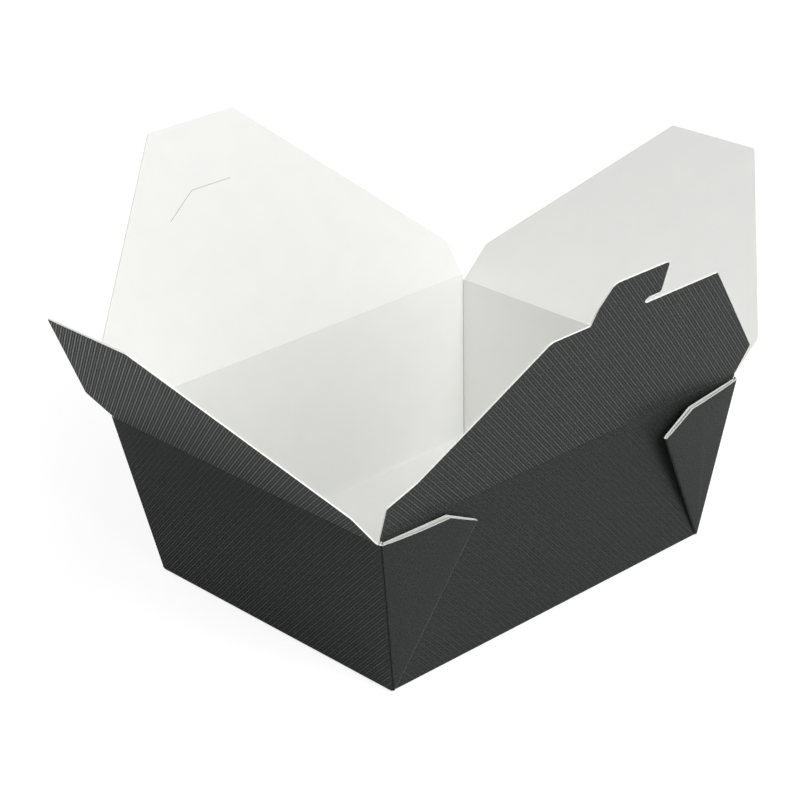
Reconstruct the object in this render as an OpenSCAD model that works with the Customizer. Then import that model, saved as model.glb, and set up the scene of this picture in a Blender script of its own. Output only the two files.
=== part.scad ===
// Folding food carton with its lid open: a card tray and four lid flaps.
// Millimetres, +Z up. The origin is the middle of the base's underside.
// The hook flap's wall is the -Y side and the left end flap's wall is the -X side.

/* [Tray] */
// length of the base along X
base_l = 150; // [135:1:165]
// width of the base along Y
base_w = 121; // [108:1:132]
// length of the rim at the main folds
rim_l = 171; // [160:1:185]
// width of the rim at the main folds
rim_w = 138.5; // [130:0.5:150]
// height of the main flaps' folds above the table
tray_h = 64; // [50:1:85]
// how far the end flaps' folds lie below the main ones
end_drop = 2.2; // [1.6:0.1:4]

/* [Card] */
// thickness of the card
card_t = 0.5; // [0.35:0.05:0.7]
// outer radius of the folds round the base
fold_r = 1; // [0.8:0.1:2]
// clearance between a wall's top and the rolled fold of its flap
hinge_gap = 0.25; // [0.15:0.05:0.4]

/* [Corner webs] */
// lean of the web's diagonal fold from the slope of its wall
web_lean = 29.5; // [24:0.5:34]
// distance of the web's tip from its base corner
web_len = 64; // [45:0.5:66]
// distance of the web's shoulder from its base corner, along the rim
web_shoulder = 18; // [10:0.5:24]
// how far the web's top lies below the main folds
web_drop = 2; // [1.6:0.1:5]
// space between the web's two layers
web_gap = 0.2; // [0.1:0.05:0.5]
// angle by which the sprung web stands off the hook wall
web_spring = 7; // [0:0.5:12]

/* [Hook flap] */
// depth from the fold to the shoulders beside the hook
hook_d = 68.3; // [55:0.1:75]
// half width between the two outer corners
hook_half = 38.4; // [30:0.1:50]
// length of the hook past the shoulders
hook_len = 17.6; // [12:0.1:22]
// left side of the hook's neck along the fold
neck_left = -21.2; // [-28:0.1:-14]
// right side of the hook's neck along the fold
neck_right = 2.6; // [-2:0.1:8]
// tip of the hook along the fold
hook_tip = 9.4; // [8:0.1:16]
// width of the notch under the hook's tip
notch_w = 3.6; // [2.5:0.1:5]
// slant of the notch's mouth along the fold
notch_slant = 2; // [1:0.1:3]
// how far the hook's end lies inside its tip
tip_slant = 3.2; // [2:0.1:5]
// how far the hook's end lies inside its left side
back_slant = 2.6; // [1:0.1:5]
// height of the slanted part of the hook's left side
back_rise = 10; // [7:0.5:12]

/* [Slot flap] */
// depth of the card past the slit
slot_past = 25.4; // [20:0.2:32]
// half width of the outer edge
slot_half = 20; // [12:0.5:30]
// how far the closed slit lies past the hook flap's shoulders
slit_past = 4.6; // [3:0.1:8]
// distance of the slit's bend from the hook's left side
slit_bend = 7.8; // [4:0.2:12]
// length of the slit's slanted part along the fold
slit_slant = 14; // [8:0.5:20]
// drop of the slit's slanted part towards the fold
slit_drop = 8.12; // [4:0.01:12]
// width of the cut
slit_w = 0.4; // [0.3:0.05:0.8]

/* [End flaps] */
// how far past the middle of the tray an end flap reaches
end_lap = 2.9; // [1:0.1:5]
// half width of the outer edge
end_half = 20.2; // [12:0.2:30]
// height of the side corners above the fold
end_kink = 16.9; // [12:0.1:24]

/* [Side corners of the flaps] */
// height of the main flaps' side corners above the fold
main_kink = 14.4; // [10:0.1:20]
// distance of a main flap's fold end from the rim's corner
main_inset = 1.8; // [1:0.1:4]
// distance of an end flap's fold end from the rim's corner
end_inset = 2.6; // [2:0.1:5]
// how far a main flap's side corners stand past its fold
main_out = 1.2; // [0.6:0.1:1.6]
// how far an end flap's side corners stand past its fold
end_out = 0.8; // [0.4:0.1:1.2]
// rounding of the side corners
side_r = 2; // [1:0.5:4]
// rounding of the outer corners
outer_r = 1.5; // [0.5:0.1:3]
// rounding of the hook flap's right shoulder
shoulder_r = 1; // [0.5:0.1:3]
// rounding of the root of the hook's neck
neck_r = 0.8; // [0.5:0.1:2]
// rounding of the hook's tip
tip_r = 1.5; // [0.8:0.1:1.6]
// rounding of the hook's end beside its tip
end_r = 1.4; // [0.8:0.1:1.6]
// rounding of the hook flap's worn side corner
worn_side_r = 12; // [8:0.5:16]
// rounding of the hook flap's worn shoulder
worn_shoulder_r = 4; // [2:0.5:6]

/* [Opening angles] */
// hook flap's lean from upright
hook_open = 27; // [-80:1:95]
// slot flap's lean from upright
slot_open = 37; // [-80:1:95]
// left end flap's lean from upright
left_open = 38.5; // [-80:0.5:115]
// right end flap's lean from upright
right_open = 50; // [-80:0.5:115]

/* [Hidden] */
$fn = 24;

dark = [0.22, 0.23, 0.23];
light = [0.9, 0.9, 0.88];
lean_x = atan((rim_l - base_l) / 2 / tray_h);
lean_y = atan((rim_w - base_w) / 2 / tray_h);
slope_y = tray_h / cos(lean_y);
half_t = card_t / 2;
web_t = 2 * card_t + web_gap;
end_h = tray_h - end_drop;
main_axis = rim_w / 2 - half_t / cos(lean_y);
end_axis = rim_l / 2 - end_drop * tan(lean_x) - half_t / cos(lean_x);
end_rim_w = rim_w - 2 * end_drop * tan(lean_y);
end_d = end_axis + end_lap;
slit_d = rim_w - hook_d - slit_past;
slot_d = slit_d + slot_past;
web_seam = 1.6 * card_t;
over = 8 * card_t;
big = 2 * rim_l;

// unit vector along v
function unit(v) = v / norm(v);

// points of the arc with which corner p, between a and b, is rounded by r
function corner(p, a, b, r) =
  let (u = unit(a - p))
  let (v = unit(b - p))
  let (half = acos(u * v) / 2)
  let (c = p + unit(u + v) * r / sin(half))
  let (s = p + u * r / tan(half) - c)
  let (e = p + v * r / tan(half) - c)
  let (from = atan2(s.y, s.x))
  let (turn = (atan2(e.y, e.x) - from + 540) % 360 - 180)
  [for (i = [0:5]) c + r * [cos(from + turn * i / 5), sin(from + turn * i / 5)]];

// closed outline through points [x, y, rounding]
function rounded(p) =
  let (n = len(p))
  let (q = [for (k = p) [k.x, k.y]])
  [for (i = [0:n - 1])
    each (p[i].z <= 0 ? [q[i]] : corner(q[i], q[(i + n - 1) % n], q[(i + 1) % n], p[i].z))];

// a side of the tray: X along its fold, Y up the wall, Z outward
module on_wall(az, half, lean) {
  rotate([0, 0, az])
    translate([0, -half, 0])
      rotate([90 + lean, 0, 0])
        children();
}

// block with the tray's outer faces, brought in by inset, long sides out by more
module block(inset, more, top) {
  xc = base_l / 2 + fold_r * tan(lean_x) - fold_r / cos(lean_x);
  yc = base_w / 2 + fold_r * tan(lean_y) - fold_r / cos(lean_y);
  xt = base_l / 2 + top * tan(lean_x) - inset / cos(lean_x);
  yt = base_w / 2 + top * tan(lean_y) - inset / cos(lean_y);
  hull() {
    for (sx = [-1, 1])
      for (sy = [-1, 1])
        translate([sx * xc, sy * (yc + more), fold_r])
          sphere(fold_r - inset);
    translate([0, 0, top - 0.01])
      linear_extrude(0.01)
        square([2 * xt, 2 * (yt + more)], center = true);
  }
}

// outline of a web on its wall: base corner at the origin, X to the wall's middle
module web_outline(top) {
  tip = web_len * [sin(web_lean), cos(web_lean)];
  shoulder = [web_shoulder, slope_y - web_drop];
  polygon([[0, 0], tip, shoulder + [0, top], [-rim_l / 8, slope_y - web_drop + top]]);
}

// web at the right end of the hook wall: two layers joined at the diagonal fold
module web() {
  difference() {
    intersection() {
      difference() {
        block(0, web_t / cos(lean_y), tray_h);
        block(half_t, 0, tray_h + 1);
      }
      on_wall(0, base_w / 2, lean_y)
        translate([base_l / 2, 0, -card_t])
          mirror([1, 0, 0])
            linear_extrude(2 * web_t)
              web_outline(0);
    }
    on_wall(0, base_w / 2, lean_y)
      translate([base_l / 2, 0, card_t])
        mirror([1, 0, 0])
          linear_extrude(web_gap)
            offset(delta = -web_seam)
              web_outline(over);
  }
}

// turns the web about its corner edge, away from the wall
module sprung() {
  foot = [base_l / 2, -base_w / 2, 0];
  edge = [rim_l / 2, -rim_w / 2, tray_h] - foot;
  translate(foot)
    rotate(a = web_spring, v = edge)
      translate(-foot)
        children();
}

// rolled edge on which the sprung web is joined to its corner
module web_root() {
  foot = [base_l / 2, -base_w / 2, 0];
  edge = [rim_l / 2, -rim_w / 2, tray_h] - foot;
  in = [-card_t, 0, 0];
  hull() {
    translate(foot + in + edge * 0.03)
      sphere(card_t, $fn = 12);
    translate(foot + in + edge * (1 - (web_drop + card_t) / tray_h))
      sphere(card_t, $fn = 12);
  }
}

// tray: base, four walls and four corner webs, folded from one sheet
module tray() {
  wall_top = tray_h - half_t - hinge_gap;
  end_top = end_h - half_t - hinge_gap;
  color(dark) {
    difference() {
      union() {
        block(0, 0, tray_h);
        web_root();
      }
      block(card_t, 0, tray_h + 1);
      translate([-big / 2, -big / 2, wall_top])
        cube([big, big, big]);
      translate([-big / 2, -end_rim_w / 2 + card_t / cos(lean_y), end_top])
        cube([big, end_rim_w - 2 * card_t / cos(lean_y), big]);
    }
    mirror([1, 0, 0])
      web();
    sprung()
      web();
    mirror([0, 1, 0])
      web();
    mirror([0, 1, 0])
      mirror([1, 0, 0])
        web();
  }
}

// places a flap: X along its fold, Y away from the fold, Z on its outer face
module on_fold(az, axis, height, open) {
  rotate([0, 0, az])
    translate([0, -axis, height])
      rotate([90 + open, 0, 0])
        children();
}

// card of a flap with its rolled fold, which ends at plus and minus half
module flap_card(outline, half) {
  linear_extrude(card_t, center = true)
    polygon(outline);
  rotate([0, 90, 0])
    cylinder(r = half_t, h = 2 * half, center = true, $fn = 16);
}

// hook flap: its hook tucks into the slot flap's slit
module hook_flap() {
  fold = rim_l / 2 - main_inset;
  side = fold + main_out;
  top = hook_d + hook_len;
  outline = rounded([
    [-fold, 0, 0],
    [fold, 0, 0],
    [side, main_kink, side_r],
    [hook_half, hook_d, shoulder_r],
    [neck_right + notch_slant, hook_d, notch_w / 4],
    [neck_right, hook_d + notch_w / 2, notch_w / 4],
    [neck_right + notch_slant, hook_d + notch_w, notch_w / 4],
    [hook_tip, hook_d + notch_w, tip_r],
    [hook_tip - tip_slant, top, end_r],
    [neck_left + back_slant, top, back_slant],
    [neck_left, top - back_rise, 0.6 * back_rise],
    [neck_left, hook_d, neck_r],
    [-hook_half, hook_d, worn_shoulder_r],
    [-side, main_kink, worn_side_r]
  ]);
  color(dark)
    on_fold(0, main_axis, tray_h, hook_open)
      flap_card(outline, fold);
}

// slot flap: opposite the hook flap, with the slit for the hook
module slot_flap() {
  fold = rim_l / 2 - main_inset;
  side = fold + main_out;
  start = -neck_right - notch_slant;
  bend = -neck_left - slit_bend;
  color(light)
    on_fold(180, main_axis, tray_h, slot_open)
      difference() {
        flap_card(rounded([
          [-fold, 0, 0],
          [fold, 0, 0],
          [side, main_kink, side_r],
          [slot_half, slot_d, outer_r],
          [-slot_half, slot_d, outer_r],
          [-side, main_kink, side_r]
        ]), fold);
        linear_extrude(4 * card_t, center = true) {
          polygon([
            [start, slit_d - slit_w / 2],
            [bend, slit_d - slit_w / 2],
            [bend + slit_slant, slit_d - slit_drop - slit_w / 2],
            [bend + slit_slant, slit_d - slit_drop + slit_w / 2],
            [bend, slit_d + slit_w / 2],
            [start, slit_d + slit_w / 2]
          ]);
        }
      }
}

// end flap of the wall on side az, opened by the angle given
module end_flap(az, open) {
  fold = end_rim_w / 2 - end_inset;
  side = fold + end_out;
  on_fold(az, end_axis, end_h, open)
    flap_card(rounded([
      [-fold, 0, 0],
      [fold, 0, 0],
      [side, end_kink, side_r],
      [end_half, end_d, outer_r],
      [-end_half, end_d, outer_r],
      [-side, end_kink, side_r]
    ]), fold);
}

// left end flap, on the -X wall
module left_end_flap() {
  color(dark)
    end_flap(-90, left_open);
}

// right end flap, on the +X wall
module right_end_flap() {
  color(light)
    end_flap(90, right_open);
}

tray();
hook_flap();
slot_flap();
left_end_flap();
right_end_flap();
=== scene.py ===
import math
from collections import namedtuple

import bmesh
import bpy
from mathutils import Matrix, Vector


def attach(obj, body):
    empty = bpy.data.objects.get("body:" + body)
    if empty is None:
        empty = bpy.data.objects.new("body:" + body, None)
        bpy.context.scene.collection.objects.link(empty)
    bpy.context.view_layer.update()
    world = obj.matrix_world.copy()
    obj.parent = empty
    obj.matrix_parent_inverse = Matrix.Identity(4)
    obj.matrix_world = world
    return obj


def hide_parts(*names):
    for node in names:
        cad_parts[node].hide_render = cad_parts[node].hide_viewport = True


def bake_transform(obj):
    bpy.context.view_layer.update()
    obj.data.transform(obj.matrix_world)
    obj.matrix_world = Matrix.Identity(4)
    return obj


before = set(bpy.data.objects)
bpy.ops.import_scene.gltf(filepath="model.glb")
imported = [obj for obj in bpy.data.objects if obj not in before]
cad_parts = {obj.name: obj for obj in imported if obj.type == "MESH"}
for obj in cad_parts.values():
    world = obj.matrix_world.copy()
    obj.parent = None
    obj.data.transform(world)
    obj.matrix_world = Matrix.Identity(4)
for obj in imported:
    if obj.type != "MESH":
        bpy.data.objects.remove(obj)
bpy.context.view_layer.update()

# Folded food carton with its lid open. It is one sheet of card, black outside and
# white inside. Sizes are in millimetres and every piece is scaled to metres at the end.
MM = 0.001

# Sizes of the tray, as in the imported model
BASE_L = 150
BASE_W = 121
RIM_L = 171
RIM_W = 138.5
TRAY_H = 64
END_DROP = 2.2
CARD = 0.5
HALF = CARD / 2
LEAN_X = math.atan((RIM_L - BASE_L) / 2 / TRAY_H)
LEAN_Y = math.atan((RIM_W - BASE_W) / 2 / TRAY_H)
SLOPE_X = TRAY_H / math.cos(LEAN_X)
SLOPE_Y = TRAY_H / math.cos(LEAN_Y)
END_H = TRAY_H - END_DROP
END_SLOPE = END_H / math.cos(LEAN_X)
CORNERS = [(-1, -1), (-1, 1), (1, 1), (1, -1)]

# Fold axes of the flaps, in the middle of the card
MAIN_AXIS = RIM_W / 2 - HALF / math.cos(LEAN_Y)
END_AXIS = RIM_L / 2 - END_DROP * math.tan(LEAN_X) - HALF / math.cos(LEAN_X)

# Half the length of a flap's fold, which stops short of the corners
MAIN_STOP = 0.9
END_STOP = 1.0
MAIN_FOLD = RIM_L / 2 - MAIN_STOP
END_FOLD = RIM_W / 2 - END_DROP * math.tan(LEAN_Y) - END_STOP

# The card bends within this distance of a flap's fold
BEND = 1.2

# Width of card that turns in each fold, and the number of small bends that it takes
FLAP_FOLD = 1.4
FLAP_STEPS = 7
CORNER_FOLD = 0.8
CORNER_STEPS = 5
DIAGONAL_STEPS = 8
BASE_ROUND = 0.9
BASE_STEPS = 4

# Crease: the card is pressed inward along the middle of a fold, and its groove is this
# much wider than it is deep on each side. The webs' grooves have painted shade down the middle.
CREASE = 0.16
WEB_CREASE = 0.3
CREASE_SIDE = 0.2
# half width of the painted shade down the middle of a web's crease
CREASE_SHADE_HALF = 0.28

# The pocket of each corner web opens as a narrow groove inside the tray, deeper towards
# the rim, and past its mouth it has painted shade: the black film's material on its white face
POCKET = 0.4
POCKET_DEEP = 0.8
POCKET_FOOT = 1.2
POCKET_MOUTH = 0.15

# A knife line in the card: its half width and its depth from each face
SLIT_HALF = 0.06
SLIT_DEEP = 0.22

# Marks in a sheet's face layer of marks: a knife line, and painted shade in a pocket's depth
KNIFE_LINE = 1
POCKET_SHADE = 2

# Embossed ribs on the black face. A rib is where a wave of height 1 is past its edge.
RIB_PITCH = 1.8
RIB_TURN = math.radians(46.6)
RIB_START = 0.325
RIB_EDGE = 0.63

# Corner webs: a double layer of card outside the long walls
WEB_LEAN = math.radians(29.5)
WEB_LEN = 64
WEB_SHOULDER = 18
WEB_DROP = 2
WEB_START = 1.0
WEB_GAP = 0.3
WEB_FOOT = 0.45
BOW_PARTS = 10
BOW_FULLNESS = 0.7

# How far the film is rubbed beside a web's diagonal fold, outside and behind
RUB_WIDE = 0.65
RUB_BACK = 0.2

# Opening angles of the flaps, from upright
HOOK_OPEN = math.radians(27)
SLOT_OPEN = math.radians(37)
LEFT_OPEN = math.radians(38.5)
RIGHT_OPEN = math.radians(50)

# Points nearer than this are one point, and a cut's points are found within this
TOUCH = 1e-5
NEAR = 0.01

# A face is level when its normal is this upright, and a sharper edge than this isn't smoothed
LEVEL = 0.98
SHARP = math.radians(30)

# Number of edges that round a corner of an outline
ROUND_STEPS = 5


# Materials


def colour(code):
    """Linear colour of an sRGB hex value."""
    out = []
    for i in (1, 3, 5):
        c = int(code[i:i + 2], 16) / 255
        out.append(c / 12.92 if c <= 0.04045 else ((c + 0.055) / 1.055) ** 2.4)
    return (*out, 1.0)


def add(tree, kind, settings=None, inputs=None):
    """Adds a node. An input is a plain value or an output socket to link."""
    node = tree.nodes.new(kind)
    for name, value in (settings or {}).items():
        setattr(node, name, value)
    for name, value in (inputs or {}).items():
        if isinstance(value, bpy.types.NodeSocket):
            tree.links.new(value, node.inputs[name])
        else:
            node.inputs[name].default_value = value
    return node


def new_material(name):
    material = bpy.data.materials.new(name)
    material.use_nodes = True
    material.node_tree.nodes.clear()
    return material, material.node_tree


def finish_material(tree, shader):
    add(tree, "ShaderNodeOutputMaterial", inputs={"Surface": shader.outputs[0]})


def laminated_black_card():
    """Black printed card under a matt film that is embossed with fine ribs.

    The ribs run across the whole blank. Their smooth tops catch the light at low angles,
    so the pattern is strong on the raised flaps and nearly gone on the walls.
    """
    material, tree = new_material("laminated_black_card")
    flat = add(tree, "ShaderNodeUVMap", {"uv_map": "blank"})
    # along the ribs and across them, in millimetres
    turned = add(tree, "ShaderNodeMapping", inputs={
        "Vector": flat.outputs["UV"],
        "Rotation": (0, 0, -RIB_TURN),
        "Scale": (1000, 1000, 1000),
    })
    parts = add(tree, "ShaderNodeSeparateXYZ", inputs={"Vector": turned.outputs[0]})
    phase = add(tree, "ShaderNodeMath", {"operation": "MULTIPLY_ADD"}, {
        0: parts.outputs["Y"],
        1: 2 * math.pi / RIB_PITCH,
        2: 2 * math.pi * RIB_START / RIB_PITCH,
    })
    wave = add(tree, "ShaderNodeMath", {"operation": "COSINE"}, {0: phase.outputs[0]})
    high = add(tree, "ShaderNodeMapRange", {"interpolation_type": "SMOOTHSTEP"}, {
        "Value": wave.outputs[0],
        "From Min": RIB_EDGE,
        "From Max": 1.0,
    })
    # a fainter rib lies midway between two strong ones
    low = add(tree, "ShaderNodeMapRange", {"interpolation_type": "SMOOTHSTEP"}, {
        "Value": wave.outputs[0],
        "From Min": -RIB_EDGE,
        "From Max": -1.0,
        "To Max": 0.5,
    })
    ribs = add(tree, "ShaderNodeMath", {"operation": "ADD"}, {
        0: high.outputs["Result"],
        1: low.outputs["Result"],
    })
    # each rib is pressed a little unevenly along its length
    cells = add(tree, "ShaderNodeMapping", inputs={
        "Vector": turned.outputs[0],
        "Scale": (0.3, 0.9, 1.0),
    })
    wear = add(tree, "ShaderNodeTexNoise", inputs={
        "Vector": cells.outputs[0],
        "Scale": 1.0,
        "Detail": 2.0,
        "Roughness": 0.6,
    })
    pressed = add(tree, "ShaderNodeMapRange", inputs={
        "Value": wear.outputs["Fac"],
        "From Min": 0.3,
        "From Max": 0.6,
        "To Min": 0.6,
        "To Max": 1.0,
    })
    lines = add(tree, "ShaderNodeMath", {"operation": "MULTIPLY"}, {
        0: ribs.outputs[0],
        1: pressed.outputs["Result"],
    })
    # the film's fine grain, drawn about half a millimetre coarse so that it shows
    speckle = add(tree, "ShaderNodeTexNoise", inputs={
        "Vector": turned.outputs[0],
        "Scale": 2.2,
        "Detail": 2.0,
    })
    grain = add(tree, "ShaderNodeMapRange", inputs={
        "Value": speckle.outputs["Fac"],
        "From Min": 0.35,
        "From Max": 0.65,
    })
    ground = add(tree, "ShaderNodeMix", {"data_type": "RGBA"}, {
        "Factor": grain.outputs["Result"],
        "A": colour("#121413"),
        "B": colour("#404241"),
    })
    # the film is rubbed light along the sharp fold of a web
    rubbed = add(tree, "ShaderNodeAttribute", {"attribute_name": "rubbed"})
    rib_tone = add(tree, "ShaderNodeMix", {"data_type": "RGBA"}, {
        "Factor": rubbed.outputs["Fac"],
        "A": colour("#262827"),
        "B": colour("#6C6E6C"),
    })
    shiny = add(tree, "ShaderNodeMath", {"operation": "MAXIMUM"}, {
        0: lines.outputs[0],
        1: rubbed.outputs["Fac"],
    })
    # painted shade: the film is darkened and its gloss taken away in the bottom of a web's crease
    painted_crease_shade = add(tree, "ShaderNodeAttribute", {"attribute_name": "painted_crease_shade"})
    film = add(tree, "ShaderNodeMix", {"data_type": "RGBA"}, {
        "Factor": painted_crease_shade.outputs["Fac"],
        "A": ground.outputs["Result"],
        "B": colour("#060707"),
    })
    glossy = add(tree, "ShaderNodeMath", {"operation": "SUBTRACT", "use_clamp": True}, {
        0: shiny.outputs[0],
        1: painted_crease_shade.outputs["Fac"],
    })
    bump = add(tree, "ShaderNodeBump", inputs={
        "Height": lines.outputs[0],
        "Strength": 0.3,
        "Distance": 0.00004,
    })
    dull = add(tree, "ShaderNodeBsdfPrincipled", inputs={
        "Base Color": film.outputs["Result"],
        "Roughness": 0.65,
        "IOR": 1.5,
        "Specular IOR Level": 0.1,
        "Normal": bump.outputs[0],
    })
    smooth = add(tree, "ShaderNodeBsdfPrincipled", inputs={
        "Base Color": rib_tone.outputs["Result"],
        "Roughness": 0.25,
        "IOR": 1.5,
        "Specular IOR Level": 0.36,
        "Sheen Weight": 0.8,
        "Sheen Roughness": 0.3,
    })
    shader = add(tree, "ShaderNodeMixShader", inputs={
        0: glossy.outputs[0],
        1: dull.outputs[0],
        2: smooth.outputs[0],
    })
    finish_material(tree, shader)
    return material


def coated_white_card():
    """Bleached board with a thin food-safe coating: white, faintly mottled, half matt."""
    material, tree = new_material("coated_white_card")
    flat = add(tree, "ShaderNodeUVMap", {"uv_map": "blank"})
    # clouds of about 11 mm in the coating
    mottle = add(tree, "ShaderNodeTexNoise", inputs={
        "Vector": flat.outputs["UV"],
        "Scale": 90.0,
        "Detail": 4.0,
    })
    tone = add(tree, "ShaderNodeMix", {"data_type": "RGBA"}, {
        "Factor": mottle.outputs["Fac"],
        "A": colour("#EEEFEC"),
        "B": colour("#F3F3F0"),
    })
    # fibres under the coating, drawn about 1 mm coarse so that they show
    fibres = add(tree, "ShaderNodeTexNoise", inputs={
        "Vector": flat.outputs["UV"],
        "Scale": 900.0,
        "Detail": 3.0,
    })
    bump = add(tree, "ShaderNodeBump", inputs={
        "Height": fibres.outputs["Fac"],
        "Strength": 0.15,
        "Distance": 0.00003,
    })
    shader = add(tree, "ShaderNodeBsdfPrincipled", inputs={
        "Base Color": tone.outputs["Result"],
        "Roughness": 0.55,
        "IOR": 1.5,
        "Normal": bump.outputs[0],
    })
    finish_material(tree, shader)
    return material


def cut_board_edge():
    """Bare cut edge of the board: white fibres, quite matt."""
    material, tree = new_material("cut_board_edge")
    place = add(tree, "ShaderNodeTexCoord")
    fibres = add(tree, "ShaderNodeTexNoise", inputs={
        "Vector": place.outputs["Object"],
        "Scale": 1500.0,
        "Detail": 3.0,
    })
    tone = add(tree, "ShaderNodeMix", {"data_type": "RGBA"}, {
        "Factor": fibres.outputs["Fac"],
        "A": colour("#F4F4F1"),
        "B": colour("#FEFEFC"),
    })
    shader = add(tree, "ShaderNodeBsdfPrincipled", inputs={
        "Base Color": tone.outputs["Result"],
        "Roughness": 0.9,
        "IOR": 1.45,
    })
    finish_material(tree, shader)
    return material


# The card's materials and their places in every piece's list
CARD_SIDES = [laminated_black_card(), coated_white_card(), cut_board_edge()]
BLACK, WHITE, EDGE = range(3)


# Working the card


def on_wall(turn, half, tilt, height=0):
    """Frame of a side: X along its fold, Y up the card, Z outward."""
    spin = Matrix.Rotation(math.radians(turn), 4, "Z")
    shift = Matrix.Translation((0, -half, height))
    return spin @ shift @ Matrix.Rotation(math.pi / 2 + tilt, 4, "X")


def blank(turn, half, u, w):
    """Place on the flat blank, in metres, of a point u along and w up a side."""
    flat = Matrix.Rotation(math.radians(turn), 2) @ Vector((u, -half - w))
    return flat * MM


def cut_out(outline):
    """Flat sheet in the XY plane from corners (x, y, rounding)."""
    bm = bmesh.new()
    points = [Vector(p[:2]) for p in outline]
    verts = [bm.verts.new((p.x, p.y, 0)) for p in points]
    bm.faces.new(verts)
    for i, vert in enumerate(verts):
        rounding = outline[i][2] if len(outline[i]) > 2 else 0
        if rounding <= 0:
            continue
        back = (points[i - 1] - points[i]).normalized()
        ahead = (points[(i + 1) % len(points)] - points[i]).normalized()
        reach = rounding / math.tan(back.angle(ahead) / 2)
        bmesh.ops.bevel(
            bm, geom=[vert], offset=reach, segments=ROUND_STEPS, profile=0.5,
            affect="VERTICES", material=-1)
    return bm


def cut(bm, point, across, faces=None):
    """Cuts the mesh, or only some faces of it, along a plane. Gives the parts of the faces."""
    if faces is None:
        faces = bm.faces[:]
    edges = dict.fromkeys(e for f in faces for e in f.edges)
    verts = dict.fromkeys(v for f in faces for v in f.verts)
    parts = bmesh.ops.bisect_plane(
        bm, geom=[*verts, *edges, *faces], dist=TOUCH, plane_co=point, plane_no=across)
    return [g for g in parts["geom"] if isinstance(g, bmesh.types.BMFace)]


def score(bm, point, across):
    """Cuts the flat sheet along a line, square to across."""
    cut(bm, (*point, 0), (*across, 0))


# What lies across a fold's line turns towards Z. The turn is shared by a few parallel
# lines within the width, and the crease is the groove pressed along the middle.
Fold = namedtuple("Fold", "point across width turn steps crease")


def lines_of(fold):
    """Offsets of the parallel lines that share a fold's turn."""
    return [fold.width * ((i + 0.5) / fold.steps - 0.5) for i in range(fold.steps)]


def fold_up(bm, folds, mapping):
    """Scores all folds, lays the blank's map on the flat sheet and then folds it.

    The folds come in the order in which they are made, the farthest one first.
    """
    for fold in folds:
        for offset in [-fold.width / 2, *lines_of(fold), fold.width / 2]:
            score(bm, fold.point + fold.across * offset, fold.across)
    uv = bm.loops.layers.uv.new("blank")
    for face in bm.faces:
        for loop in face.loops:
            loop[uv].uv = mapping(loop.vert.co.x, loop.vert.co.y)
    flat = {v: v.co.xy.copy() for v in bm.verts}
    for fold in folds:
        for vert in bm.verts:
            off = abs((flat[vert] - fold.point).dot(fold.across))
            vert.co.z -= fold.crease * max(0, 1 - off / (fold.crease + CREASE_SIDE))
    for fold in folds:
        hinge = Vector((fold.across.y, -fold.across.x, 0))
        part = Matrix.Rotation(fold.turn / fold.steps, 3, hinge)
        for offset in reversed(lines_of(fold)):
            line = fold.point + fold.across * offset
            past = offset + 10 * TOUCH
            beyond = [v for v in bm.verts if (flat[v] - fold.point).dot(fold.across) > past]
            bmesh.ops.rotate(bm, verts=beyond, cent=(*line, 0), matrix=part)


def knife_and_shade_layer(bm):
    """The sheet's face layer of knife marks and painted-shade marks, made when it isn't there
    yet.
    """
    return bm.faces.layers.int.get("knife_and_shade") or bm.faces.layers.int.new("knife_and_shade")


def slit(bm, a, b):
    """Marks the narrow faces of a knife line from a to b on the flat sheet."""
    along = (b - a).normalized()
    across = Vector((-along.y, along.x))
    for point in (a - across * SLIT_HALF, a + across * SLIT_HALF):
        score(bm, point, across)
    for point in (a, b):
        score(bm, point, along)
    knife_and_shade = knife_and_shade_layer(bm)
    for face in bm.faces:
        c = face.calc_center_median().xy - a
        if abs(c.dot(across)) < SLIT_HALF and 0 < c.dot(along) < (b - a).length:
            face[knife_and_shade] = KNIFE_LINE


def sink_slit(mesh):
    """Sinks a knife line's faces into the card from both sides, and paints shade in the cut and
    in a pocket's depth.

    The cut's sides touch inside, and the shade in the cut is painted with the black film's
    material.
    """
    if "knife_and_shade" not in mesh.attributes:
        return
    bm = bmesh.new()
    bm.from_mesh(mesh)
    knife_and_shade = knife_and_shade_layer(bm)
    for side in (BLACK, WHITE):
        line = [f for f in bm.faces if f[knife_and_shade] == KNIFE_LINE and f.material_index == side]
        if not line:
            continue
        inward = -line[0].normal * SLIT_DEEP * MM
        sunk = bmesh.ops.extrude_face_region(bm, geom=line)
        verts = [g for g in sunk["geom"] if isinstance(g, bmesh.types.BMVert)]
        bmesh.ops.translate(bm, verts=verts, vec=inward)
        # painted shade: the sunk faces of the cut take the black film's material
        for face in {f for v in verts for f in v.link_faces}:
            face.material_index = BLACK
            face[knife_and_shade] = 0
        bmesh.ops.delete(bm, geom=[f for f in line if f.is_valid], context="FACES_ONLY")
    # painted shade: a pocket's depth past its mouth takes the black film's material
    for face in bm.faces:
        if face[knife_and_shade] == POCKET_SHADE:
            face.material_index = BLACK
    # new faces come in any order, so they are sorted, and each run gives the same list
    order = sorted(bm.faces, key=lambda f: tuple(f.calc_center_median()))
    rank = {face: i for i, face in enumerate(order)}
    bm.faces.sort(key=rank.get)
    bm.to_mesh(mesh)
    bm.free()


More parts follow.
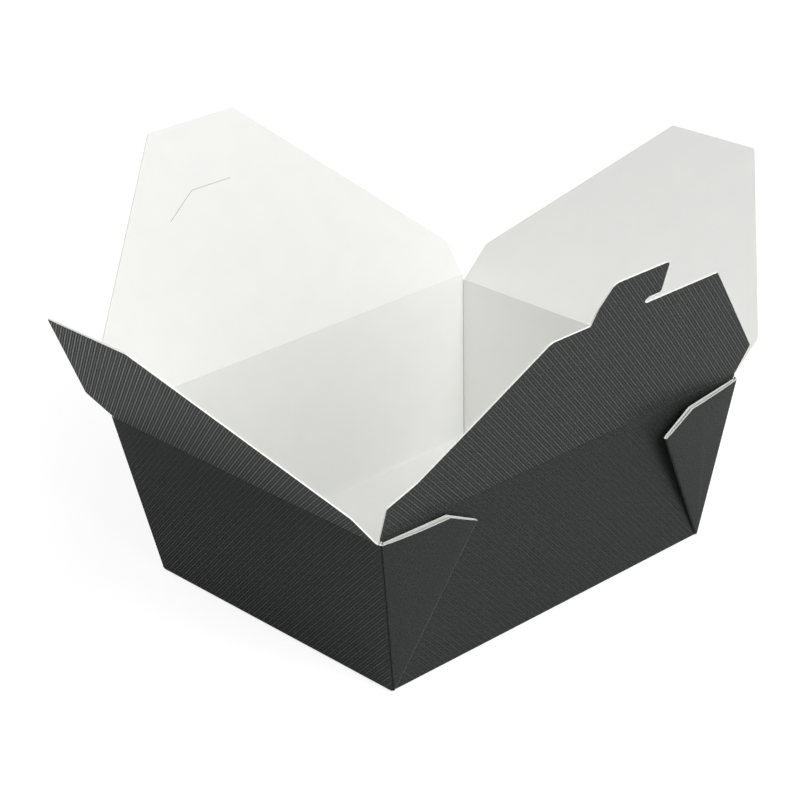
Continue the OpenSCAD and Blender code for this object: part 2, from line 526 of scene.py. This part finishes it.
def card_piece(name, bm, place):
    """Gives a folded sheet the card's thickness, black outside and white inside."""
    bmesh.ops.transform(bm, matrix=Matrix.Scale(MM, 4) @ place, verts=bm.verts)
    for face in bm.faces:
        face.smooth = True
    sheet = bpy.data.meshes.new(name)
    bm.to_mesh(sheet)
    bm.free()
    for material in CARD_SIDES:
        sheet.materials.append(material)
    piece = bpy.data.objects.new(name, sheet)
    bpy.context.scene.collection.objects.link(piece)
    board = piece.modifiers.new("board", "SOLIDIFY")
    board.thickness = CARD * MM
    board.offset = 0
    board.use_even_offset = True
    board.use_quality_normals = True
    board.material_offset = WHITE
    board.material_offset_rim = EDGE
    bpy.context.view_layer.update()
    solid = bpy.data.meshes.new_from_object(
        piece.evaluated_get(bpy.context.evaluated_depsgraph_get()))
    piece.modifiers.clear()
    sink_slit(solid)
    solid.set_sharp_from_angle(angle=SHARP)
    piece.data = solid
    solid.name = name
    return piece


# Tray


def side_of(face):
    """Turn of the side that a face of the tray belongs to, or None for the base."""
    n = face.normal
    if abs(n.z) > LEVEL:
        return None
    if abs(n.x) > abs(n.y):
        return -90 if n.x < 0 else 90
    return 0 if n.y < 0 else 180


def lay_blank(bm):
    """Map of the flat blank on the tray's base, walls and rounded folds."""
    uv = bm.loops.layers.uv.new("blank")
    for face in bm.faces:
        turn = side_of(face)
        for loop in face.loops:
            p = loop.vert.co
            if turn is None:
                loop[uv].uv = p.xy * MM
                continue
            end = turn in (-90, 90)
            half, tilt = (BASE_L / 2, LEAN_X) if end else (BASE_W / 2, LEAN_Y)
            local = on_wall(turn, half, tilt).inverted() @ p
            inside = max(0.0, -local.z - HALF)
            loop[uv].uv = blank(turn, half - inside, local.x, local.y)


def open_box(low_x, low_y, high_x, high_y):
    """Base and four leaning walls in the middle of the card, with rounded folds between."""
    bm = bmesh.new()
    floor = bm.faces.new([bm.verts.new((sx * low_x, sy * low_y, HALF)) for sx, sy in CORNERS])
    pulled = bmesh.ops.extrude_face_region(bm, geom=[floor], use_keep_orig=True)
    top = [g for g in pulled["geom"] if isinstance(g, bmesh.types.BMVert)]
    bmesh.ops.translate(bm, verts=top, vec=(0, 0, TRAY_H - HALF))
    bmesh.ops.scale(bm, verts=top, vec=(high_x / low_x, high_y / low_y, 1))
    lid = [f for f in bm.faces if all(v in top for v in f.verts)]
    bmesh.ops.delete(bm, geom=lid, context="FACES_ONLY")
    bmesh.ops.recalc_face_normals(bm, faces=bm.faces)
    if any(f.normal.z > LEVEL for f in bm.faces):
        bmesh.ops.reverse_faces(bm, faces=bm.faces)
    bottom = [e for e in bm.edges if all(v.co.z < HALF + TOUCH for v in e.verts)]
    bmesh.ops.bevel(
        bm, geom=bottom, offset=BASE_ROUND, segments=BASE_STEPS, profile=0.5,
        affect="EDGES", material=-1)
    return bm


def notch_for_flaps(bm):
    """Takes away the walls' tops where the flaps' bends stand, and the end walls' drop."""
    notch_main = TRAY_H - BEND * math.cos(LEAN_Y)
    notch_end = END_H - BEND * math.cos(LEAN_X)
    for height in (notch_end, END_H, notch_main):
        cut(bm, (0, 0, height), (0, 0, 1))
    for sign in (-1, 1):
        cut(bm, (sign * MAIN_FOLD, 0, 0), (1, 0, 0))
        cut(bm, (0, sign * END_FOLD, 0), (0, 1, 0))
    spare = []
    for face in bm.faces:
        c = face.calc_center_median()
        if side_of(face) in (0, 180):
            if c.z > notch_main or (c.z > END_H and abs(c.x) > MAIN_FOLD):
                spare.append(face)
        elif c.z > END_H or (c.z > notch_end and abs(c.y) < END_FOLD):
            spare.append(face)
    bmesh.ops.delete(bm, geom=spare, context="FACES")


def open_pocket(bm, foot, edge, sx, sy):
    """Turns the long wall outward just before a corner, beside the end wall's plane."""
    inward = Vector((-sx, 0, 0))
    across = (inward - edge * inward.dot(edge)).normalized()
    outward = Vector((0, sy, 0))
    outward = (outward - edge * outward.dot(edge)).normalized()
    walls = [f for f in bm.faces if side_of(f) == (0 if sy < 0 else 180)]
    lip = CARD + POCKET
    # where each upright line starts, where it goes along the wall, and its part of the depth
    lines = [
        (lip + 0.35, lip + 0.35, 0),
        (lip + 0.1, lip + 0.08, 0.15),
        (lip - 0.2, lip, 0.5),
        (lip - 0.5, lip, 1),
        (0, 0, 1),
    ]
    for start, _, _ in lines[:-1]:
        walls = cut(bm, foot + across * start, across, walls)
    for vert in bm.verts:
        away = vert.co - foot
        height = away.dot(edge)
        if height < POCKET_FOOT or abs(away.dot(outward)) > NEAR:
            continue
        for start, stop, deep in lines:
            if abs(away.dot(across) - start) < NEAR:
                # shallow at the base, and full from seven tenths of the height up
                grown = min(1.0, 0.3 + height / SLOPE_X)
                vert.co += across * (stop - start) + outward * deep * POCKET_DEEP * grown
    # painted shade: the pocket goes on inside the web, so what shows of its depth past the mouth
    # is marked for the black film's material
    knife_and_shade = knife_and_shade_layer(bm)
    end = [f for f in bm.faces if side_of(f) == 90 * sx]
    for face in cut(bm, foot + outward * POCKET_MOUTH, outward, end):
        if (face.calc_center_median() - foot).dot(outward) > POCKET_MOUTH:
            face[knife_and_shade] = POCKET_SHADE


def tray_shell():
    """The tray's sheet: base, walls, the webs' pockets and notches for the flaps."""
    low_x = BASE_L / 2 + HALF * math.tan(LEAN_X) - HALF / math.cos(LEAN_X)
    low_y = BASE_W / 2 + HALF * math.tan(LEAN_Y) - HALF / math.cos(LEAN_Y)
    high_x = RIM_L / 2 - HALF / math.cos(LEAN_X)
    high_y = MAIN_AXIS
    bm = open_box(low_x, low_y, high_x, high_y)
    for sx, sy in CORNERS:
        foot = Vector((sx * low_x, sy * low_y, HALF))
        edge = Vector((sx * high_x, sy * high_y, TRAY_H)) - foot
        open_pocket(bm, foot, edge.normalized(), sx, sy)
    notch_for_flaps(bm)
    lay_blank(bm)
    return bm


tray = card_piece("tray_card", tray_shell(), Matrix.Identity(4))
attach(tray, "tray")
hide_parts("tray")


# Corner webs


def web(name, sx, sy, spring, bow, rub=0.0):
    """Double corner web: a flange on the end wall, the outer layer and the inner layer.

    It springs off the long wall by an angle in degrees, and the outer layer bows away
    from the inner one, which opens the pocket between them. Rub is the film's wear, 0 to 1.
    """
    edge_lean = math.atan((RIM_L - BASE_L) / 2 / SLOPE_Y)
    height = SLOPE_Y - WEB_DROP
    rim = height / math.cos(edge_lean)
    shoulder_far = Vector((WEB_SHOULDER, height)).length
    shoulder_turn = math.atan2(WEB_SHOULDER, height) + edge_lean
    tip_turn = WEB_LEAN + edge_lean

    def at(far, turn):
        return (far * math.sin(turn), far * math.cos(turn))

    # how far the outer layer's middle stands before the long wall's face
    proud = CARD * 2 + WEB_GAP - HALF
    outline = [
        (-WEB_FOOT, WEB_START),
        at(WEB_START, tip_turn),
        at(WEB_START, 2 * tip_turn),
        at(rim, 2 * tip_turn),
        at(shoulder_far, 2 * tip_turn - shoulder_turn),
        at(WEB_LEN, tip_turn),
        at(shoulder_far, shoulder_turn),
        (0, rim),
        (-proud, rim),
    ]
    bm = cut_out(outline)
    # the outer layer is part of a cone that bows out between its two folds
    for i in range(1, BOW_PARTS):
        angle = tip_turn * i / BOW_PARTS
        score(bm, (0, 0), (math.cos(angle), -math.sin(angle)))
    for vert in bm.verts:
        part = math.atan2(vert.co.x, vert.co.y) / tip_turn
        if 0 < part < 1:
            grown = vert.co.length / rim
            vert.co.z = bow * grown * math.sin(math.pi * part) ** BOW_FULLNESS

    diagonal = Vector((math.cos(tip_turn), -math.sin(tip_turn)))
    for offset in (-RUB_WIDE, RUB_BACK):
        score(bm, diagonal * offset, diagonal)
    rubbed = bm.faces.layers.float.new("rubbed")
    for face in bm.faces:
        if -RUB_WIDE < face.calc_center_median().xy.dot(diagonal) < RUB_BACK:
            face[rubbed] = rub
    upright = Vector((1, 0))
    # painted shade: a narrow band down the middle of the corner crease is marked to be darkened
    for offset in (-CREASE_SHADE_HALF, CREASE_SHADE_HALF):
        score(bm, upright * offset, upright)
    painted_crease_shade = bm.faces.layers.float.new("painted_crease_shade")
    for face in bm.faces:
        if abs(face.calc_center_median().x) < CREASE_SHADE_HALF:
            face[painted_crease_shade] = 1

    back_width = math.pi * (CARD + WEB_GAP) / 2
    corner = math.acos(math.sin(LEAN_X) * math.sin(LEAN_Y)) - math.radians(spring)
    middle = Vector((0, 0))
    folds = [
        Fold(middle, diagonal, back_width, -math.pi, DIAGONAL_STEPS, 0),
        Fold(middle, upright, CORNER_FOLD, -corner, CORNER_STEPS, WEB_CREASE),
    ]
    end_lean = math.atan((RIM_W - BASE_W) / 2 / SLOPE_X)

    def mapping(x, y):
        u = BASE_W / 2 + y * math.sin(end_lean) + x * math.cos(end_lean)
        w = y * math.cos(end_lean) - x * math.sin(end_lean)
        return blank(90 * sx, BASE_L / 2, sx * sy * u, w)

    fold_up(bm, folds, mapping)

    # the flange lies on the left wall's card and the layers in front of the hook wall
    foot = Vector((-BASE_L / 2, -BASE_W / 2, 0))
    edge = Vector((-RIM_L / 2, -RIM_W / 2, TRAY_H)) - foot
    wall_out = Vector((-math.cos(LEAN_X), 0, -math.sin(LEAN_X)))
    along = edge.cross(wall_out).normalized()
    up = (edge + along * (proud - WEB_FOOT)).normalized()
    forward = up.cross(wall_out).normalized()
    facing = Matrix((forward, up, forward.cross(up))).transposed().to_4x4()
    place = Matrix.Translation(foot - wall_out * HALF + along * WEB_FOOT) @ facing
    bmesh.ops.transform(bm, matrix=place, verts=bm.verts)
    # the other three corners mirror that one
    bmesh.ops.scale(bm, verts=bm.verts, vec=(-sx, -sy, 1))
    if sx * sy < 0:
        bmesh.ops.reverse_faces(bm, faces=bm.faces)
    piece = card_piece(name, bm, Matrix.Identity(4))
    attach(piece, "tray")


web("web_front_left", -1, -1, 1.5, 1.1, rub=0.4)
web("web_front_right", 1, -1, 7, 0.6)
web("web_back_left", -1, 1, 1, 0.8)
web("web_back_right", 1, 1, 1.5, 0.8)


# Lid flaps


# Wall that a flap folds on: the distance of its fold from the middle, the fold's height
# and half length, the wall's lean, half the base's size towards it, and its card's length
Wall = namedtuple("Wall", "axis height fold lean half slope")
LONG_WALL = Wall(MAIN_AXIS, TRAY_H, MAIN_FOLD, LEAN_Y, BASE_W / 2, SLOPE_Y)
END_WALL = Wall(END_AXIS, END_H, END_FOLD, LEAN_X, BASE_L / 2, END_SLOPE)


def flap(body, wall, turn, opening, outline, slits=()):
    """Flap with the card's bend at its fold, which closes onto the wall's notch."""
    end = wall.fold
    bm = cut_out([(-end, -BEND), (end, -BEND), (end, 0), *outline, (-end, 0)])
    for a, b in slits:
        slit(bm, Vector(a), Vector(b))
    bend = opening - wall.lean
    fold = Fold(Vector((0, 0)), Vector((0, 1)), FLAP_FOLD, bend, FLAP_STEPS, CREASE)
    fold_up(bm, [fold], lambda u, w: blank(turn, wall.half, u, wall.slope + w))
    place = on_wall(turn, wall.axis, wall.lean, wall.height)
    piece = card_piece(body + "_card", bm, place)
    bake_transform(piece)
    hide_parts(body)


# Outlines from the fold up, in millimetres: along the fold, away from it, and rounding.
# The hook starts HOOK_D from its fold.
HOOK_D = 68.3
HOOK_END = HOOK_D + 17.6
hook_outline = [
    (84.9, 14.4, 2),
    (38.4, HOOK_D, 1),
    (4.2, HOOK_D, 0.8),
    (2.4, HOOK_D + 1.5, 0.8),
    (4.2, HOOK_D + 3, 0.8),
    (9.6, HOOK_D + 3, 0.9),
    (6.4, HOOK_END, 2.2),
    (-18.6, HOOK_END, 2.6),
    (-21.2, HOOK_END - 10, 6),
    (-21.2, HOOK_D, 0.8),
    (-38.4, HOOK_D, 4),
    (-59, 43.6, 60),
    (-77.1, 22.6, 12),
    (-87.4, 15.6, 1),
]
flap("hook_flap", LONG_WALL, 0, HOOK_OPEN, hook_outline)

# The slit is a little nearer to its own fold than the place where the closed hook starts
SLIT_BACK = 4.6
SLIT_D = RIM_W - HOOK_D - SLIT_BACK
slot_outline = [
    (84.9, 14.4, 2),
    (20, SLIT_D + 25.4, 1.5),
    (-20, SLIT_D + 25.4, 1.5),
    (-84.9, 14.4, 2),
]
slot_slits = [
    ((-4.6, SLIT_D - 0.1), (13.7, SLIT_D - 0.1)),
    ((13.7, SLIT_D - 0.1), (28.1, SLIT_D - 8.6)),
]
flap("slot_flap", LONG_WALL, 180, SLOT_OPEN, slot_outline, slot_slits)


def end_outline(worn):
    """Outline of an end flap, with its side corners worn round."""
    return [
        (END_FOLD + 0.8, 16.9, worn),
        (20.2, END_AXIS + 2.9, 1.5),
        (-20.2, END_AXIS + 2.9, 1.5),
        (-END_FOLD - 0.8, 16.9, worn),
    ]


flap("left_end_flap", END_WALL, -90, LEFT_OPEN, end_outline(4))
flap("right_end_flap", END_WALL, 90, RIGHT_OPEN, end_outline(3))


# Floor, light and camera


def pale_floor():
    """Plain white table; the camera sees it near white, with the carton's soft shadow."""
    material, tree = new_material("plain_white_table")
    path = add(tree, "ShaderNodeLightPath")
    lit = add(tree, "ShaderNodeBsdfDiffuse", inputs={"Color": colour("#F2F2F2")})
    seen = add(tree, "ShaderNodeBsdfDiffuse", inputs={"Color": colour("#B4B4B4")})
    # the table brightens to pure white away from the carton
    place = add(tree, "ShaderNodeTexCoord")
    far = add(tree, "ShaderNodeVectorMath", {"operation": "LENGTH"}, {0: place.outputs["Object"]})
    rise = add(tree, "ShaderNodeMapRange", {"interpolation_type": "SMOOTHSTEP"}, {
        "Value": far.outputs["Value"],
        "From Min": 0.2,
        "From Max": 0.9,
        "To Min": 0.82,
        "To Max": 1.0,
    })
    glow = add(tree, "ShaderNodeEmission", inputs={
        "Color": (1, 1, 1, 1),
        "Strength": rise.outputs["Result"],
    })
    pale = add(tree, "ShaderNodeAddShader", inputs={0: seen.outputs[0], 1: glow.outputs[0]})
    mixed = add(tree, "ShaderNodeMixShader", inputs={
        0: path.outputs["Is Camera Ray"],
        1: lit.outputs[0],
        2: pale.outputs[0],
    })
    finish_material(tree, mixed)
    return material


# The table is 8 m wide and lies a little below the carton, so the two don't touch
TABLE_HALF = 4.0
TABLE_DROP = 0.0003
bm = bmesh.new()
bmesh.ops.create_grid(bm, x_segments=1, y_segments=1, size=TABLE_HALF)
bmesh.ops.translate(bm, verts=bm.verts, vec=(0, 0, -TABLE_DROP))
table_mesh = bpy.data.meshes.new("table")
bm.to_mesh(table_mesh)
bm.free()
table_mesh.materials.append(pale_floor())
table = bpy.data.objects.new("table", table_mesh)
bpy.context.scene.collection.objects.link(table)

# The room is dim for the carton's card, and white where it is seen or mirrored
world = bpy.data.worlds.new("white_room")
world.use_nodes = True
world.node_tree.nodes.clear()
tree = world.node_tree
path = add(tree, "ShaderNodeLightPath")
seen = add(tree, "ShaderNodeMath", {"operation": "MAXIMUM"}, {
    0: path.outputs["Is Camera Ray"],
    1: path.outputs["Is Glossy Ray"],
})
through = add(tree, "ShaderNodeMath", {"operation": "MAXIMUM"}, {
    0: seen.outputs[0],
    1: path.outputs["Is Transmission Ray"],
})
room = add(tree, "ShaderNodeBackground", inputs={"Color": (1, 1, 1, 1), "Strength": 0.03})
backdrop = add(tree, "ShaderNodeBackground", inputs={"Color": (1, 1, 1, 1), "Strength": 1.0})
both = add(tree, "ShaderNodeMixShader", inputs={
    0: through.outputs[0],
    1: room.outputs[0],
    2: backdrop.outputs[0],
})
add(tree, "ShaderNodeOutputWorld", inputs={"Surface": both.outputs[0]})
bpy.context.scene.world = world


# The softboxes are 1 m wide and aim at the carton's middle
LAMP_SIZE = 1.0
LAMP_AIM = Vector((0, 0, 0.05))


def softbox(name, place, power):
    light = bpy.data.lights.new(name, "AREA")
    light.shape = "SQUARE"
    light.size = LAMP_SIZE
    light.energy = power
    lamp = bpy.data.objects.new(name, light)
    lamp.location = place
    lamp.rotation_euler = (LAMP_AIM - Vector(place)).to_track_quat("-Z", "Y").to_euler()
    bpy.context.scene.collection.objects.link(lamp)


softbox("low_front_softbox", (0, -1.4, 0.51), 8.1)
softbox("mid_front_softbox", (0, -1.1, 1.0), 8.3)
softbox("high_front_softbox", (0, -0.63, 1.35), 5.2)
softbox("left_softbox", (-1.1, 0, 1.0), 2.4)
softbox("back_softbox", (-0.57, 0.48, 1.29), 4.4)

# Camera, from the corners and folds measured in the photograph. The focal length and the
# offset of the carton from the picture's middle are in pixels.
PICTURE_PX = 800
SENSOR_MM = 36
AZIMUTH = math.radians(-41.705)
ELEVATION = math.radians(24.942)
ROLL = math.radians(-2.431)
FOCAL_PX = 2525.6
DISTANCE = 0.9132
OFF_X, OFF_Y = 31.34, -152.38
back = Vector((
    math.sin(AZIMUTH) * math.cos(ELEVATION),
    -math.cos(AZIMUTH) * math.cos(ELEVATION),
    math.sin(ELEVATION),
))
level = Vector((0, 0, 1)).cross(back).normalized()
upward = back.cross(level)
right = level * math.cos(ROLL) + upward * math.sin(ROLL)
top = upward * math.cos(ROLL) - level * math.sin(ROLL)
eye = back * DISTANCE - (right * OFF_X + top * OFF_Y) * DISTANCE / FOCAL_PX
lens = bpy.data.cameras.new("camera")
lens.sensor_width = SENSOR_MM
lens.lens = FOCAL_PX / PICTURE_PX * SENSOR_MM
lens.clip_start = 0.01
lens.clip_end = 20
camera = bpy.data.objects.new("camera", lens)
turned = Matrix((right, top, back)).transposed().to_4x4()
camera.matrix_world = Matrix.Translation(eye) @ turned
bpy.context.scene.collection.objects.link(camera)
bpy.context.scene.camera = camera
bpy.context.scene.view_settings.view_transform = "Standard"
